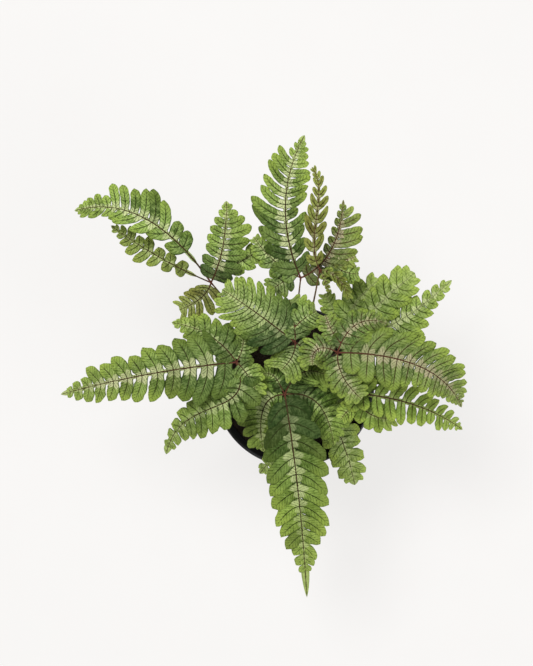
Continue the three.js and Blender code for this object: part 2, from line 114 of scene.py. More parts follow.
class Finish:
    """A material as it is wired, from its first pattern to the shader."""

    def __init__(self, name):
        self.material = bpy.data.materials.new(name)
        self.material.use_nodes = True
        self.tree = self.material.node_tree
        self.tree.nodes.clear()

    def node(self, kind, settings, sockets, out=0):
        """Adds a node with its settings first, then its sockets' values or wires."""
        node = self.tree.nodes.new("ShaderNode" + kind)
        for name, value in settings.items():
            setattr(node, name, value)
        for name, value in sockets.items():
            if isinstance(value, Wire):
                self.tree.links.new(value.socket, node.inputs[name])
            elif isinstance(value, tuple) and node.inputs[name].type == "RGBA":
                node.inputs[name].default_value = (*value, 1)
            else:
                node.inputs[name].default_value = value
        return Wire(self, node.outputs[out]) if node.outputs else None

    def mix(self, under, over, share):
        """Two colours mixed by a share from 0 to 1."""
        return self.node("Mix", {"data_type": "RGBA"}, {0: share, 6: under, 7: over}, out=2)

    def step(self, value, low, high):
        """0 below low and 1 above high, with a smooth rise between."""
        settings = {"interpolation_type": "SMOOTHSTEP"}
        return self.node("MapRange", settings, {"Value": value, "From Min": low, "From Max": high})

    def place(self):
        """Where a point of the piece lies, in metres."""
        return self.node("TexCoord", {}, {}, out="Object")

    def drawn_out(self, place, share):
        """The place with its height cut to a share, which draws a pattern out upwards."""
        return self.node("VectorMath", {"operation": "MULTIPLY"}, {0: place, 1: (1, 1, share)})

    def grain(self, place, size, detail=3, rough=0.55):
        """A cloudy pattern whose blotches are about one size across, in metres."""
        sockets = {"Vector": place, "Scale": 1 / size, "Detail": detail, "Roughness": rough}
        return self.node("TexNoise", {}, sockets)

    def parts(self, name):
        """The three numbers that a mesh keeps at each point under this name."""
        kept = self.node("Attribute", {"attribute_name": name}, {}, out="Vector")
        return [self.node("SeparateXYZ", {}, {0: kept}, out=axis) for axis in range(3)]

    def bump(self, height, depth):
        """A relief of this depth in metres."""
        return self.node("Bump", {}, {"Height": height, "Distance": depth})

    def shader(self, **sockets):
        """The finished material, with an underline for each space in a socket's name."""
        named = {name.replace("_", " "): value for name, value in sockets.items()}
        surface = self.node("BsdfPrincipled", {}, named)
        self.node("OutputMaterial", {}, {"Surface": surface})
        return self.material


def mesh_piece(name, points, faces, material, smooth=True):
    """A piece at the origin with its place in its mesh."""
    mesh = bpy.data.meshes.new(name)
    mesh.from_pydata(points, [], faces)
    mesh.materials.append(material)
    if smooth:
        mesh.shade_smooth()
    piece = bpy.data.objects.new(name, mesh)
    bpy.context.scene.collection.objects.link(piece)
    return piece


def ring_faces(rings, sides):
    """The four-sided faces between rings of points that follow one another."""
    faces = []
    for row in range(rings - 1):
        for i in range(sides):
            a, b = row * sides + i, row * sides + (i + 1) % sides
            faces.append((a, b, b + sides, a + sides))
    return faces


def turned(profile, sides):
    """Points and faces of a profile of (radius, height) turned about the upright axis."""
    turns = np.arange(sides) * 2 * math.pi / sides
    profile = np.array(profile)
    points = np.empty((len(profile), sides, 3))
    points[..., 0] = profile[:, :1] * np.cos(turns)
    points[..., 1] = profile[:, :1] * np.sin(turns)
    points[..., 2] = profile[:, 1:]
    return points.reshape(-1, 3), ring_faces(len(profile), sides)


def rounded(points, radius, steps=4):
    """A profile with each inner corner rounded to about this radius."""
    result = [points[0]]
    for before, corner, after in zip(points, points[1:], points[2:]):
        corner = Vector(corner)
        arms = [Vector(before) - corner, Vector(after) - corner]
        cut = min(radius, *(arm.length * 0.45 for arm in arms))
        start, end = (corner + arm.normalized() * cut for arm in arms)
        for i in range(steps + 1):
            share = i / steps
            result.append(start.lerp(corner, share).lerp(corner.lerp(end, share), share))
    result.append(points[-1])
    return [tuple(point) for point in result]


def pot_outside(height):
    """The tapered wall's outer radius."""
    return foot_radius + taper * height


def pot_profile():
    """The pot's section, from the middle of its underside over the lip to its floor inside."""
    band_foot = pot_top - band_height
    outer = rounded([
        (axis_gap, foot_hollow),
        (foot_radius - foot_ring - foot_slope, foot_hollow),
        (foot_radius - foot_ring, 0),
        (foot_radius, 0),
        (pot_outside(step_height) + step_out * 0.2, step_height),
        (pot_outside(step_height) - step_out, step_height + step_rise),
        (pot_outside(band_foot), band_foot),
        (rim_radius - band_draft, band_foot + band_slope),
        (rim_radius - lip_draft, pot_top - lip_radius),
    ], outer_rounding)
    lip_middle = rim_radius - lip_radius
    lip = []
    for turn in range(0, 180 + lip_turn, lip_turn):
        angle = math.radians(turn)
        lip.append((lip_middle + lip_radius * math.cos(angle),
                    pot_top - lip_radius + lip_radius * math.sin(angle)))
    inner = rounded([
        (lip_middle - lip_radius, pot_top - lip_radius - inner_drop),
        (pot_outside(band_foot) - wall, band_foot - inner_drop),
        (pot_outside(floor_thickness) - wall, floor_thickness),
        (axis_gap, floor_thickness),
    ], inner_rounding)
    return outer[:-1] + lip + inner


plastic = Finish("black_pot_plastic")
where = plastic.place()
cloud = plastic.grain(where, 20 * MM)
fine = plastic.grain(where, 0.6 * MM, detail=2)
scuffs = plastic.step(plastic.grain(where, 4 * MM, detail=6, rough=0.7), 0.62, 0.72)
black = plastic.mix((0.010, 0.0105, 0.012), (0.021, 0.022, 0.025), cloud)
plastic_material = plastic.shader(
    Base_Color=plastic.mix(black, (0.055, 0.055, 0.058), scuffs * 0.35),
    Roughness=0.36 + 0.14 * cloud + 0.12 * scuffs,
    Normal=plastic.bump(fine * 0.6 + scuffs * 0.4, 0.06 * MM),
)

points, faces = turned(pot_profile(), pot_sides)
pot = mesh_piece("nursery_pot", points, faces, plastic_material)
cutter_mesh = bmesh.new()
for i in range(drain_holes):
    angle = 2 * math.pi * i / drain_holes
    made = bmesh.ops.create_cone(
        cutter_mesh, cap_ends=True, segments=drain_sides,
        radius1=drain_radius, radius2=drain_radius, depth=4 * floor_thickness)
    spot = Vector((math.cos(angle), math.sin(angle), 0)) * drain_circle
    bmesh.ops.translate(cutter_mesh, verts=made["verts"], vec=spot)
bm = bmesh.new()
bm.from_mesh(pot.data)
edges = [edge for edge in bm.edges if edge.is_boundary]
bmesh.ops.holes_fill(bm, edges=edges, sides=0)
bmesh.ops.recalc_face_normals(bm, faces=bm.faces)
bm.to_mesh(pot.data)
bm.free()
cutter = bpy.data.objects.new("drain_cutter", bpy.data.meshes.new("drain_cutter"))
cutter_mesh.to_mesh(cutter.data)
cutter_mesh.free()
bpy.context.scene.collection.objects.link(cutter)
drill = pot.modifiers.new("drain", "BOOLEAN")
drill.operation = "DIFFERENCE"
drill.object = cutter
drill.solver = "EXACT"
bpy.context.view_layer.update()
drilled = bpy.data.meshes.new_from_object(pot.evaluated_get(bpy.context.evaluated_depsgraph_get()))
pot.modifiers.clear()
pot.data = drilled
pot.data.shade_smooth()
pot.data.set_sharp_from_angle(angle=math.radians(sharp_corner))
bpy.data.objects.remove(cutter)
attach(pot, "root")
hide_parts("pot")

# Potting mix
# Damp peat with bark crumbs, filled by hand to a thumb below the lip and settled into a
# low uneven mound round the crown. The surface is loose crumbs on a dark bed.

crown_low, crown_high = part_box("crown")
crown_middle = (crown_low + crown_high) / 2
soil_edge = 92 * MM
mound = 3 * MM
lump = 1.5 * MM
lumps_a_metre = 110
soil_gap, bed_gap = 0.4 * MM, 0.5 * MM
soil_radius = pot_outside(soil_edge) - wall - soil_gap
soil_rings, soil_sides = 46, 120
bed_floor = floor_thickness + soil_gap
bed_radius = pot_outside(bed_floor) - wall - bed_gap
crumb_count = 1500
least_crumb, crumb_growth, largest_crumb = 0.7 * MM, 0.45 * MM, 2.6 * MM
crumb_spread, crumb_lift = 0.975, 0.2
crumb_rng = np.random.default_rng(11)


def soil_height(x, y):
    """How high the settled surface lies: a low mound with lumps."""
    share = min(1, math.hypot(x, y) / soil_radius)
    lumps = noise.fractal(Vector((x, y, 0)) * lumps_a_metre, 0.7, 2.2, 4)
    return soil_edge + mound * (1 - share * share) + lump * lumps


def ring_of(radius, sides):
    """The places (x, y) of a ring's points."""
    for i in range(sides):
        angle = 2 * math.pi * i / sides
        yield radius * math.cos(angle), radius * math.sin(angle)


def crumb(mix, at, size, turn):
    """One uneven crumb: an icosphere with its corners pushed in and out."""
    made = bmesh.ops.create_icosphere(mix, subdivisions=1, radius=1)
    squash = (1, crumb_rng.uniform(0.6, 0.95), crumb_rng.uniform(0.45, 0.8))
    for vert in made["verts"]:
        reach = 1 + crumb_rng.uniform(-0.24, 0.2)
        local = Vector([c * s * reach * size for c, s in zip(vert.co, squash)])
        local.rotate(turn)
        vert.co = at + local


mix = bmesh.new()
surface = [mix.verts.new((0, 0, soil_height(0, 0)))]
for ring in range(1, soil_rings + 1):
    for x, y in ring_of(soil_radius * ring / soil_rings, soil_sides):
        surface.append(mix.verts.new((x, y, soil_height(x, y))))
bed = [mix.verts.new((x, y, bed_floor)) for x, y in ring_of(bed_radius, soil_sides)]
for ring in range(soil_rings):
    for i in range(soil_sides):
        j = (i + 1) % soil_sides
        outer = 1 + ring * soil_sides
        if ring == 0:
            mix.faces.new((surface[0], surface[1 + i], surface[1 + j]))
        else:
            inner = outer - soil_sides
            mix.faces.new((surface[inner + i], surface[outer + i],
                           surface[outer + j], surface[inner + j]))
for i in range(soil_sides):
    j = (i + 1) % soil_sides
    last = 1 + (soil_rings - 1) * soil_sides
    mix.faces.new((surface[last + i], bed[i], bed[j], surface[last + j]))
mix.faces.new(bed[::-1])
for _ in range(crumb_count):
    radius = soil_radius * crumb_spread * math.sqrt(crumb_rng.uniform())
    angle = crumb_rng.uniform(0, 2 * math.pi)
    x, y = radius * math.cos(angle), radius * math.sin(angle)
    size = min(largest_crumb, least_crumb + crumb_rng.exponential(crumb_growth))
    turn = Vector(crumb_rng.normal(size=3)).to_track_quat("Z", "Y")
    crumb(mix, Vector((x, y, soil_height(x, y) + size * crumb_lift)), size, turn)

peat = Finish("damp_potting_mix")
where = peat.place()
blotch = peat.grain(where, 3 * MM, detail=5, rough=0.65)
speck = peat.step(peat.grain(where, 1.2 * MM, detail=2), 0.66, 0.74)
brown = peat.mix((0.0065, 0.0048, 0.0036), (0.034, 0.022, 0.013), blotch)
peat_material = peat.shader(
    Base_Color=peat.mix(brown, (0.10, 0.065, 0.035), speck * 0.6),
    Roughness=0.82 + 0.15 * blotch,
    Specular_IOR_Level=0.2,
    Normal=peat.bump(blotch, 0.6 * MM),
)
soil_mesh = bpy.data.meshes.new("potting_mix")
bmesh.ops.recalc_face_normals(mix, faces=mix.faces)
mix.to_mesh(soil_mesh)
mix.free()
soil_mesh.materials.append(peat_material)
soil = bpy.data.objects.new("potting_mix", soil_mesh)
bpy.context.scene.collection.objects.link(soil)
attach(soil, "root")
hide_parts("soil")

# Stipes
# Each frond's wiry stem, red-brown and smooth with a shallow groove down its front. It
# grows straight up out of the crown, thins as it rises and arches out to the blade.

# The fronds are held in millimetres and degrees. foot is where a stipe leaves the crown
# (x, y) and hub is where the pinnae meet (x, y, z). A pinna runs from the hub, or with root
# from a share of an earlier pinna's length, past its bends to its tip. widths are how far its
# lobes reach out from the midrib at equal shares from its root to its tip, with that number
# of lobes to a side, and a number for left or right makes that side shorter. A list for left
# or right gives the reach of each of its lobes. lean is the lobes' angle to the midrib at the
# pinna's root and tip, and right_lean is the right side's own. slender narrows the lobes, and
# waist is their width where they meet the midrib. They end at the share tail, before a point
# that starts tail_half wide to each side. bare is the length of midrib with no lobes at the
# root, and fold is how far the lobes rise from it.
# The tones are shares too, and a pinna's own goes before its frond's. deep is the dark
# blue-green round a hub, partly the leaf's own colour and partly painted shade where the pinnae
# crowd, lime the yellow-green of the edges and tips, partly painted light on the outer lobes,
# brown and pink the flush of young leaves, stripe the strength of the pale band, frost the
# silver between the veins, and pale_rib a light midrib.

FRONDS = {
    "front": dict(foot=(-5, 4), hub=(-8, -3, 185), deep=1, frost=0.1, stripe=0.85, pinnae=[
        dict(tip=(9, -155, 125), bends=[(3, -69, 200)], lean=(57, 45), tail=0.87, tail_half=3.2,
             left=[15.5, 20.5, 22.5, 24, 20.5, 21, 20, 16.5, 12.5, 8.5, 6.5, 4],
             right=[15.5, 20, 21.5, 21.5, 20.5, 20, 18.5, 15.7, 13, 7.5, 6.5, 4], lime=0.75),
        dict(tip=(-23, -46, 150), bends=[(-31, -3, 189)], widths=[13, 20, 21, 17, 10, 2], lobes=8,
             stripe=0.8, deep=0.32),
        dict(tip=(28, -42, 145), bends=[(22, 2, 183)], widths=[12, 17, 18, 16, 9, 2], lobes=8,
             stripe=0.42, deep=1.2, lime=-0.3),
        dict(tip=(-25, 11, 178), bends=[(-13, 7, 188), (-15, 14, 186)], widths=[8, 10, 9, 5],
             lobes=5, stripe=0.4),
        dict(tip=(23, 10, 180), bends=[(-3, 10, 190), (6, 19, 190)], widths=[10, 16, 17, 13, 6],
             lobes=7, left=0.3, stripe=0.3),
    ]),
    "left": dict(foot=(-11, 9), hub=(-42, 20, 200), deep=0.7, frost=0.35, pinnae=[
        dict(tip=(-170, -4, 153), bends=[(-102, 15, 213)], lean=(70, 50), waist=0.72,
             left=[25, 27, 23.5, 20, 19.5, 17.5, 14.5, 13, 12.5, 10, 7, 3.5],
             right=[27, 23.5, 22, 19, 19.5, 15, 17, 13.5, 14, 7, 5.5, 3], pink=0.25, lime=0.55,
             stripe=1.35, slender=0.94),
        dict(tip=(-88, 48, 185), bends=[(-56, 43, 209)], widths=[10, 14, 13, 10, 5, 2], lobes=7,
             stripe=0.5, lime=0.4),
        dict(tip=(-94, -48, 145), bends=[(-26, -22, 204), (-83, 0, 188)], lean=(70, 52),
             left=[14, 18, 19, 18, 18, 17, 14, 10, 7, 5], right=[13, 15, 16, 15, 13, 11, 9, 6, 4, 3],
             slender=0.97, stripe=0.7, lime=0.5),
        dict(tip=(-37, 43, 193), bends=[(-36, 29, 204)], widths=[8, 11, 9, 5], lobes=5, stripe=0.7),
        dict(tip=(-27, -3, 195), bends=[(-34, 14, 204)], widths=[9, 11, 9, 5], lobes=5, stripe=0.6,
             lime=0.4),
    ]),
    "right": dict(foot=(4, 10), hub=(28, 27, 220), deep=0.5, pink=0.85, frost=0.6, pinnae=[
        dict(tip=(119, -13, 167), bends=[(98, 27, 231)], lean=(50, 40), right_lean=(84, 60), deep=0.4,
             left=[15, 19, 20, 20, 19, 19, 18, 17, 15, 12, 8, 5, 3],
             right=[15, 20, 22, 23, 18, 15, 16, 15, 11, 9, 7, 5, 3], lime=0.68, slender=0.96),
        dict(tip=(63, 47, 205), bends=[(37, 56, 230)], widths=[9, 13, 12, 8, 3], lobes=7, left=0.75,
             lime=0.2, deep=0.7),
        dict(tip=(20, 53, 211), bends=[(23, 41, 224)], widths=[8, 9, 7, 4], lobes=5, root=(1, 0.12),
             lime=0.3),
        dict(tip=(11, 18, 211), bends=[(18, 33, 223), (9, 31, 221)], widths=[8, 11, 11, 7], lobes=6,
             lime=0.4, deep=0.7),
        dict(tip=(46, -6, 197), bends=[(27, 10, 220)], widths=[10, 12, 12, 9, 4], lobes=6, pink=0.5,
             lime=0.55),
    ]),
    "middle": dict(foot=(-1, 13), hub=(-1, 34, 210), deep=0.6, stripe=0.55, frost=0.6, pinnae=[
        dict(tip=(-52, 71, 201), bends=[(-26, 54, 219)], widths=[22, 22, 20, 17, 11, 3], lobes=10,
             lime=0.2, deep=1),
        dict(tip=(-5, 64, 203), bends=[(-1, 49, 217)], widths=[11, 14, 12, 6], lobes=5, left=0.65,
             stripe=0.3, deep=0.5),
        dict(tip=(14, 56, 205), bends=[(6, 52, 216)], widths=[9, 11, 9, 5], lobes=4, root=(1, 0.35),
             stripe=0.3, deep=0.5),
        dict(tip=(-11, 14, 201), bends=[(0, 25, 211)], widths=[11, 14, 13, 9], lobes=5, lime=0.35),
        dict(tip=(9, 23, 202), bends=[(5, 31, 208)], widths=[6, 7, 6, 4], lobes=4, lime=0.3),
    ]),
    "back_left": dict(foot=(-9, 16), hub=(-60, 76, 190), deep=0.3, frost=0.3, pinnae=[
        dict(tip=(-157, 127, 183), bends=[(-104, 140, 215)], lean=(47, 36), right_lean=(58, 74),
             left=[8, 9, 13, 11.5, 9, 7, 7.5, 6, 3],
             right=[11, 12, 17.5, 21, 19.5, 16.5, 17, 17, 8, 9, 7, 5.5, 3.5], bare=22, lime=0.15,
             slender=0.84),
        dict(tip=(-133, 118, 160), bends=[(-98, 92, 185)], left=[5, 7, 9, 12, 10, 7, 4, 3],
             right=[6, 7, 6, 9, 6, 8, 5, 3], slender=0.85, bare=20, lime=0.8, stripe=0.5, brown=0.3),
        dict(tip=(-49, 133, 199), bends=[(-48, 98, 211)], lean=(82, 58), slender=0.94, waist=0.8,
             left=[12, 13, 12, 12, 11, 8, 5, 3], right=[13, 17, 18, 18, 18, 13, 8, 4], deep=0.9,
             pink=0.3),
        dict(tip=(-24, 100, 189), bends=[(-40, 89, 197)], widths=[7, 9, 8, 4], lobes=5,
             root=(2, 0.1), deep=0.5, stripe=0.4),
        dict(tip=(-83, 57, 175), bends=[(-63, 64, 189)], widths=[10, 14, 13, 8], lobes=5, right=0.75,
             brown=0.66, stripe=0.4, slender=0.86, lime=0.6),
    ]),
    "back": dict(foot=(-3, 19), hub=(3, 79, 200), deep=0.6, frost=0.3, pinnae=[
        dict(tip=(6, 180, 190), bends=[(-20, 130, 219)], lean=(58, 46), right_lean=(50, 78),
             left=[15, 17, 19, 22, 24, 18, 17, 16, 15, 13, 5, 3.5, 2], slender=0.82, stripe=1.3,
             right=[12, 12, 13, 15, 9, 15, 15, 15, 14, 11, 9, 7, 4], lime=0.35, deep=0.8),
        dict(tip=(-30, 108, 197), bends=[(-18, 89, 204)], widths=[8, 9, 9, 6, 3], lobes=6, deep=0.6,
             frost=0.6),
        dict(tip=(-18, 71, 191), bends=[(-9, 76, 200)], widths=[9, 10, 8, 5], lobes=4, root=(1, 0.12),
             deep=0.9, frost=0.8, stripe=0.5),
        dict(tip=(33, 134, 197), bends=[(30, 90, 210)], left=[8, 7, 6, 6, 5, 5, 4, 3, 2],
             right=[11, 14, 16, 17, 17, 16, 13, 7, 2], lean=(72, 40), slender=0.88, pink=1,
             brown=0.22, frost=0.6),
        dict(tip=(42, 94, 199), bends=[(30, 89, 205)], widths=[6, 7, 6, 3], lobes=4, root=(3, 0.4),
             pink=0.7, brown=0.35),
        dict(tip=(44, 82, 195), bends=[(32, 81, 203)], widths=[7, 8, 7, 4], lobes=4, root=(3, 0.38),
             deep=0.8, stripe=0.4),
    ]),
    "young": dict(foot=(4, 17), hub=(16, 84, 215), brown=0.45, pink=0.6, stripe=0.6, pinnae=[
        dict(tip=(10, 154, 229), bends=[(4, 104, 225), (23, 138, 240)], lean=(42, 32), fold=30,
             left=[6, 7, 8, 7, 6, 4.5, 3.5, 2.5, 2], right=[6, 7, 8, 8, 7, 5.5, 4, 3, 2],
             slender=0.66, brown=0.6),
        dict(tip=(37, 64, 203), bends=[(30, 83, 217)], widths=[4, 5, 4, 2], lobes=6, fold=45,
             lean=(45, 35)),
        dict(tip=(22, 69, 208), bends=[(21, 76, 214)], widths=[3, 3, 2, 1], lobes=4, fold=45),
    ]),
    "right_back": dict(foot=(9, 9), hub=(40, 41, 170), lime=0.65, stripe=1, frost=0.45,
                       pale_rib=0.75, pinnae=[
        dict(tip=(114, 79, 147), bends=[(63, 34, 177)], lean=(56, 46), slender=0.96,
             left=[9, 12, 14, 14, 13, 11, 8, 6, 5, 4], right=[12, 16, 19, 17, 18, 14, 10, 7, 5, 4]),
        dict(tip=(86, 84, 160), bends=[(51, 55, 181)], widths=[11, 15, 15, 12, 6], lobes=6,
             stripe=0.6),
        dict(tip=(60, 79, 167), bends=[(30, 55, 181)], widths=[10, 13, 12, 6], lobes=5, stripe=0.4),
        dict(tip=(21, 69, 167), bends=[(27, 55, 177)], widths=[8, 9, 7, 4], lobes=5, stripe=0.3),
    ]),
    "lower_right": dict(foot=(6, 4), hub=(40, -2, 187), lime=0.9, stripe=0.32, pink=0.5, pinnae=[
        dict(tip=(122, -30, 145), bends=[(87, -5, 195)], lean=(56, 48), right_lean=(76, 60),
             left=[12, 14, 14, 13, 11, 10, 8.5, 7, 5, 3], slender=0.78, waist=0.78,
             right=[12, 15, 16, 17, 14, 13, 9, 10, 8, 5, 3]),
        dict(tip=(72, -20, 161), bends=[(51, -24, 179)], widths=[8, 11, 10, 5], lobes=6),
        dict(tip=(32, -21, 177), bends=[(38, -10, 185)], widths=[6, 7, 6, 3], lobes=4,
             root=(1, 0.28)),
        dict(tip=(63, 13, 179), bends=[(49, 7, 191)], widths=[7, 8, 7, 3], lobes=4),
    ]),
    "low_front": dict(foot=(0, 1), hub=(14, -10, 150), lime=0.95, stripe=0.7, frost=0.6, pinnae=[
        dict(tip=(45, -73, 113), bends=[(32, -19, 157)], widths=[10, 14, 15, 12, 5], lobes=8),
        dict(tip=(-26, -64, 120), bends=[(-7, -37, 149)], widths=[5, 7, 6, 3], lobes=6),
        dict(tip=(42, -14, 141), bends=[(29, -7, 152)], widths=[7, 8, 7, 3], lobes=4),
    ]),
}
socket_floor = 84
stipe_foot_radius = 1.0
stipe_top_radius = 0.5
stipe_route = (0, 0), (0.06, 0.42), (0.5, 0.82), (1, 1)
stipe_steps, stipe_sides = 44, 12
stipe_groove = 0.18
groove_width = 0.45
sharp_fold = 50


def along(points, t):
    """Places on a Bezier curve at shares t of its run, one row each."""
    points = [np.asarray(point, float) for point in points]
    t = np.atleast_1d(t)[:, None]
    layer = [np.repeat(point[None], len(t), axis=0) for point in points]
    while len(layer) > 1:
        layer = [a + (b - a) * t for a, b in zip(layer, layer[1:])]
    return layer[0]


def unit(vectors):
    """The same directions at length 1."""
    return vectors / np.linalg.norm(vectors, axis=-1, keepdims=True)


def heading(points, t):
    """Unit directions of travel on the curve at shares t."""
    step = 1e-3
    t = np.atleast_1d(t)
    return unit(along(points, np.minimum(1, t + step)) - along(points, np.maximum(0, t - step)))


def stipe_curve(foot, hub):
    """The stipe's curve from its socket to the blade, by shares of its run and its rise."""
    rise = hub[2] - socket_floor
    run = np.array([hub[0] - foot[0], hub[1] - foot[1]])
    return [(*(np.array(foot) + share * run), socket_floor + height * rise)
            for share, height in stipe_route]


class Shell:
    """The points, faces and kept numbers of a piece as its parts are added, in millimetres."""

    def __init__(self):
        self.points = []
        self.faces = []
        self.kept = {}
        self.count = 0

    def add(self, points, faces, **kept):
        self.points.append(points)
        self.faces.extend(tuple(i + self.count for i in face) for face in faces)
        for name, values in kept.items():
            self.kept.setdefault(name, []).append(np.broadcast_to(values, (len(points), 3)))
        self.count += len(points)

    def piece(self, name, material):
        """The finished piece, with its points in metres."""
        piece = mesh_piece(name, (np.concatenate(self.points) * MM).tolist(), self.faces, material)
        piece.data.set_sharp_from_angle(angle=math.radians(sharp_fold))
        for kept, values in self.kept.items():
            attribute = piece.data.attributes.new(kept, "FLOAT_VECTOR", "POINT")
            attribute.data.foreach_set("vector", np.concatenate(values).astype(np.float32).ravel())
        return piece


def tube(shell, middles, radii, sides, flat=1.0, groove=0.0, **kept):
    """A closed round stem along middles, flattened from above, with a groove along its top."""
    forward = unit(np.gradient(middles, axis=0))
    right = unit(np.cross(forward, (0, 0, 1)) + 1e-9)
    for i in range(1, len(right)):
        carried = right[i - 1] - forward[i] * np.dot(right[i - 1], forward[i])
        right[i] = carried / np.linalg.norm(carried)
    up = np.cross(right, forward)
    turns = np.arange(sides) * 2 * math.pi / sides
    reach = 1 - groove * np.exp(-((turns - math.pi / 2) / groove_width) ** 2)
    across = np.cos(turns) * reach
    above = np.sin(turns) * reach * flat
    rings = (middles[:, None]
             + right[:, None] * across[None, :, None] * radii[:, None, None]
             + up[:, None] * above[None, :, None] * radii[:, None, None])
    count = len(middles)
    points = np.concatenate([rings.reshape(-1, 3), middles[:1], middles[-1:]])
    faces = ring_faces(count, sides)
    last = (count - 1) * sides
    for i in range(sides):
        j = (i + 1) % sides
        faces.append((count * sides, j, i))
        faces.append((count * sides + 1, last + i, last + j))
    spread = {
        name: np.concatenate([np.repeat(values, sides, axis=0), values[:1], values[-1:]])
        for name, values in kept.items()
    }
    shell.add(points, faces, **spread)


stem = Finish("stipe_skin")
height = stem.parts("stem_at")[2]
streak = stem.grain(stem.drawn_out(stem.place(), 0.12), 1.5 * MM, detail=4)
bark = stem.mix((0.035, 0.016, 0.007), (0.125, 0.056, 0.019), streak)
fresh = stem.mix(bark, (0.120, 0.082, 0.026), stem.step(height, 0.55, 1.0) * 0.6)
stem_material = stem.shader(
    Base_Color=fresh,
    Roughness=0.5 + 0.2 * streak,
    Specular_IOR_Level=0.2,
    Normal=stem.bump(streak, 0.1 * MM),
)

for name, frond in FRONDS.items():
    shell = Shell()
    run = np.linspace(0, 1, stipe_steps)
    middles = along(stipe_curve(frond["foot"], frond["hub"]), run)
    radii = stipe_foot_radius + (stipe_top_radius - stipe_foot_radius) * run
    kept = np.stack([run * 0, run * 0, run], axis=1)
    tube(shell, middles, radii, stipe_sides, groove=stipe_groove, stem_at=kept)
    stipe = shell.piece(f"stipe_{name}", stem_material)
    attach(stipe, "root")
    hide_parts(f"frond_{name}_stipe")

# Crown
# The short knotted rootstock that every frond grows from, sunk in the potting mix. It is
# brown and woody, covered in narrow papery scales, with a swollen bud round each stipe's foot.

crown_mm = np.array(crown_middle) / MM
crown_foot, crown_top = 78.0, 93
crown_dome = 13
crown_reach = 15.2
crown_rows, crown_sides = 16, 48
crown_scales, bud_scales = 150, 14
crown_scale_length, bud_scale_length = (2, 4), (1.8, 3.2)
crown_scale_width, bud_scale_width = 0.5, 0.42
scale_band = 0.15, 0.9
scale_sink = 0.3
scale_thickness = 0.18
scale_steps = 5
scale_turn = 2.4
bud_start, bud_share = 0.01, 0.085
bud_radius, bud_swelling, bud_flare = 1.35, 1.5, 0.25
bud_rows, bud_sides = 9, 14
scale_rng = np.random.default_rng(23)


def crown_surface(turn, tilt):
    """A place on the knotted rootstock, from its rim (tilt 0) to its top (tilt 1)."""
    direction = np.array([math.cos(turn), math.sin(turn), 0])
    knot = noise.fractal(Vector((math.cos(turn) * 2, math.sin(turn) * 2, tilt * 3)), 0.8, 2.1, 3)
    radius = crown_reach * math.cos(tilt * math.pi / 2) ** 0.6 * (1 + 0.07 * knot)
    height = crown_top - crown_dome + crown_dome * math.sin(tilt * math.pi / 2) + 0.9 * knot
    return np.array([crown_mm[0], crown_mm[1], 0]) + direction * radius + np.array([0, 0, height])


def knotted_stock(shell):
    """The rootstock itself, closed underneath by a flat foot."""
    rows = [[crown_surface(2 * math.pi * i / crown_sides, row / crown_rows)
             for i in range(crown_sides)] for row in range(crown_rows)]
    points = [point for row in rows for point in row]
    points.append(crown_surface(0, 1))
    points.extend(np.array([point[0], point[1], crown_foot]) for point in rows[0])
    top = crown_rows * crown_sides
    last = top - crown_sides
    faces = []
    for i in range(crown_sides):
        j = (i + 1) % crown_sides
        for row in range(crown_rows - 1):
            a, b = row * crown_sides, (row + 1) * crown_sides
            faces.append((a + i, a + j, b + j, b + i))
        faces.append((last + i, last + j, top))
        faces.append((top + 1 + i, top + 1 + j, j, i))
    faces.append(tuple(range(top + crown_sides, top, -1)))
    shell.add(np.array(points), faces, scale_at=(0, 0, 0))


def closed_sheet(upper, lower, columns):
    """Points and faces of a thin closed sheet between two grids of places."""
    under = len(upper)
    order = np.arange(under).reshape(-1, columns)
    faces = []
    for a in order[:-1, :-1].ravel():
        faces.append((a, a + 1, a + columns + 1, a + columns))
        faces.append((under + a, under + a + columns, under + a + columns + 1, under + a + 1))
    rim = [*order[0], *order[1:, -1], *order[-1, -2::-1], *order[-2:0:-1, 0]]
    for a, b in zip(rim, rim[1:] + rim[:1]):
        faces.append((a, under + a, under + b, b))
    return np.concatenate([upper, lower]), faces


def scale(shell, root, outward, length, width):
    """One papery scale: a narrow pointed leaflet pressed along the rootstock."""
    up = np.array([0, 0, 1.0])
    side = unit(np.cross(outward, up) + 1e-6)
    lift = unit(outward * 0.75 + up * scale_rng.uniform(0.5, 1.4))
    top = []
    for k in range(scale_steps + 1):
        share = k / scale_steps
        spot = root + lift * length * share + outward * length * 0.25 * share ** 2
        half = side * width * (1 - share) ** 0.7 * (0.6 + share)
        top.append([spot - half, spot + outward * 0.25 * width, spot + half])
    upper = np.array(top).reshape(-1, 3)
    points, faces = closed_sheet(upper, upper - outward * scale_thickness, 3)
    shell.add(points, faces, scale_at=(1, scale_rng.uniform(), 0))


rootstock = Shell()
knotted_stock(rootstock)
for _ in range(crown_scales):
    turn = scale_rng.uniform(0, 2 * math.pi)
    tilt = scale_rng.uniform(*scale_band)
    outward = np.array([math.cos(turn), math.sin(turn), 0.0])
    root = crown_surface(turn, tilt) - outward * scale_sink
    length = scale_rng.uniform(*crown_scale_length)
    scale(rootstock, root, outward, length, crown_scale_width)
bud_run = np.linspace(0, 1, bud_rows)
bud_radii = (bud_radius + bud_swelling * np.sin(np.pi * bud_run ** 0.7) * (1 - bud_run)
             + bud_flare * (1 - bud_run))
for frond in FRONDS.values():
    curve = stipe_curve(frond["foot"], frond["hub"])
    middles = along(curve, bud_start + bud_run * bud_share)
    tube(rootstock, middles, bud_radii, bud_sides, scale_at=np.zeros((bud_rows, 3)))
    for k in range(bud_scales):
        turn = scale_turn * k
        outward = np.array([math.cos(turn), math.sin(turn), 0.0])
        share = 0.2 + 0.6 * (k / bud_scales)
        stand_off = outward * np.interp(share, bud_run, bud_radii) * 0.9
        root = along(curve, bud_start + share * bud_share)[0] + stand_off
        scale(rootstock, root, outward, scale_rng.uniform(*bud_scale_length), bud_scale_width)

